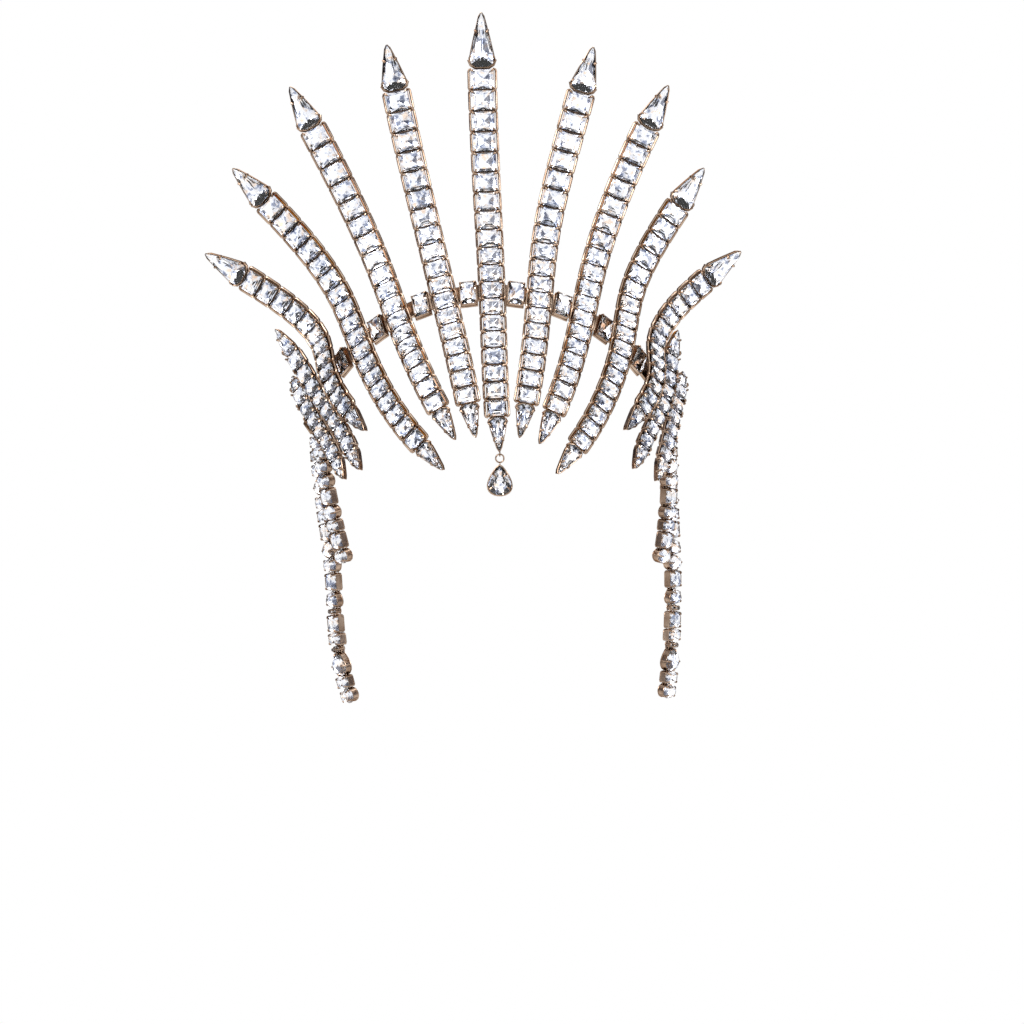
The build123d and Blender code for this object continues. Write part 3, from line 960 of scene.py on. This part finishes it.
def makeFloor():
    # pale paper under the tiara that runs out into plain white; fade is (metres away, share of white)
    look = dict(
        height=-0.46, radius=6.0, sides=96, fade=((0.25, 0.45), (0.88, 1.0)),
        tones=((0.3, (0.93, 0.93, 0.93)), (0.7, (0.97, 0.97, 0.97))),
        grain=60.0, rough=((0.3, 0.85), (0.7, 0.95)), bump=0.05, bumpDepth=0.0005,
    )
    disc = bmesh.new()
    bmesh.ops.create_circle(disc, cap_ends=True, segments=look["sides"], radius=look["radius"])
    mesh = bpy.data.meshes.new("studio_floor")
    disc.to_mesh(mesh)
    disc.free()
    material, tree, shader, place = startMaterial("palePaper")
    grain = addGrain(tree, place, shader, look)
    addTones(tree, grain, shader, look["tones"])
    away = tree.nodes.new("ShaderNodeVectorMath")
    away.operation = "LENGTH"
    tree.links.new(place.outputs["Object"], away.inputs[0])
    fade = addRamp(tree, away.outputs["Value"], look["fade"])
    white = tree.nodes.new("ShaderNodeEmission")
    surface = tree.nodes["Material Output"].inputs["Surface"]
    mixShaders(tree, fade.outputs["Color"], shader.outputs[0], white.outputs[0], surface)
    mesh.materials.append(material)
    floor = bpy.data.objects.new("studio_floor", mesh)
    floor.location = (0, 0, look["height"])
    bpy.context.scene.collection.objects.link(floor)


def makeWorld():
    # white to the camera; the facets catch patches of bright and dark, darker at the sides and behind
    look = dict(
        patchScale=2.6, patchDetail=1.5,
        patches=(
            (0.34, (0.12, 0.13, 0.17)), (0.40, (0.60, 0.63, 0.71)), (0.44, (1.05, 1.05, 1.05)),
            (0.66, (1.4, 1.37, 1.32)),
        ),
        sides=((0.68, 1.0), (0.76, (0.19, 0.20, 0.25))), rear=((0.0, 1.0), (0.10, (0.36, 0.36, 0.40))),
    )
    world = bpy.data.worlds.new("studio")
    world.use_nodes = True
    bpy.context.scene.world = world
    tree = world.node_tree
    shade = tree.nodes["Background"]
    place = tree.nodes.new("ShaderNodeTexCoord")
    noise = addNoise(tree, place, look["patchScale"], look["patchDetail"], "Generated")
    patches = addRamp(tree, noise.outputs["Fac"], look["patches"])
    split = tree.nodes.new("ShaderNodeSeparateXYZ")
    tree.links.new(place.outputs["Generated"], split.inputs[0])
    away = tree.nodes.new("ShaderNodeMath")
    away.operation = "ABSOLUTE"
    tree.links.new(split.outputs["X"], away.inputs[0])
    sides = addRamp(tree, away.outputs[0], look["sides"])
    rear = addRamp(tree, split.outputs["Y"], look["rear"])
    colour = patches.outputs["Color"]
    for flag in (sides, rear):
        both = tree.nodes.new("ShaderNodeMix")
        both.data_type = "RGBA"
        both.blend_type = "MULTIPLY"
        both.inputs["Factor"].default_value = 1.0
        tree.links.new(colour, both.inputs["A"])
        tree.links.new(flag.outputs["Color"], both.inputs["B"])
        colour = both.outputs["Result"]
    tree.links.new(colour, shade.inputs["Color"])
    shade.inputs["Strength"].default_value = 1.0
    plain = tree.nodes.new("ShaderNodeBackground")
    plain.inputs["Color"].default_value = (1, 1, 1, 1)
    path = tree.nodes.new("ShaderNodeLightPath")
    surface = tree.nodes["World Output"].inputs["Surface"]
    mixShaders(tree, path.outputs["Is Camera Ray"], shade.outputs[0], plain.outputs[0], surface)


lights = (
    dict(name="keyLeft", place=(-0.9, -1.2, 0.8), target=(0, 0, 0), size=(0.7, 0.9), power=14),
    dict(name="keyRight", place=(1.1, -0.9, 0.4), target=(0, 0, -0.05), size=(0.6, 1.0), power=9),
    dict(name="overhead", place=(0, 0.1, 1.3), target=(0, 0, 0), size=(1.2, 0.8), power=12),
    dict(name="behind", place=(0, 1.7, 0.4), target=(0, 0, -0.05), size=(1.2, 0.9), power=14),
)


def addLight(name, place, target, size, power):
    light = bpy.data.lights.new(name, "AREA")
    light.shape = "RECTANGLE"
    light.size, light.size_y = size
    light.energy = power
    lamp = bpy.data.objects.new(name, light)
    lamp.location = place
    lamp.rotation_euler = (Vector(target) - Vector(place)).to_track_quat("-Z", "Y").to_euler()
    lamp.visible_camera = False
    bpy.context.scene.collection.objects.link(lamp)


def makeCamera():
    look = dict(place=(0.0095, -1.624, -0.0985), tilt=90, lens=126.7, sensor=36, far=30)
    camera = bpy.data.cameras.new("view")
    camera.lens = look["lens"]
    camera.sensor_width = look["sensor"]
    camera.clip_end = look["far"]
    viewer = bpy.data.objects.new("view", camera)
    viewer.location = look["place"]
    viewer.rotation_euler = (math.radians(look["tilt"]), 0, 0)
    bpy.context.scene.collection.objects.link(viewer)
    bpy.context.scene.camera = viewer


makeFloor()
makeWorld()
for light in lights:
    addLight(**light)
makeCamera()
bpy.context.scene.view_settings.view_transform = "Standard"
cycles = bpy.context.scene.cycles
cycles.max_bounces, cycles.transmission_bounces, cycles.glossy_bounces, cycles.diffuse_bounces = 8, 8, 4, 2
print("studio made")
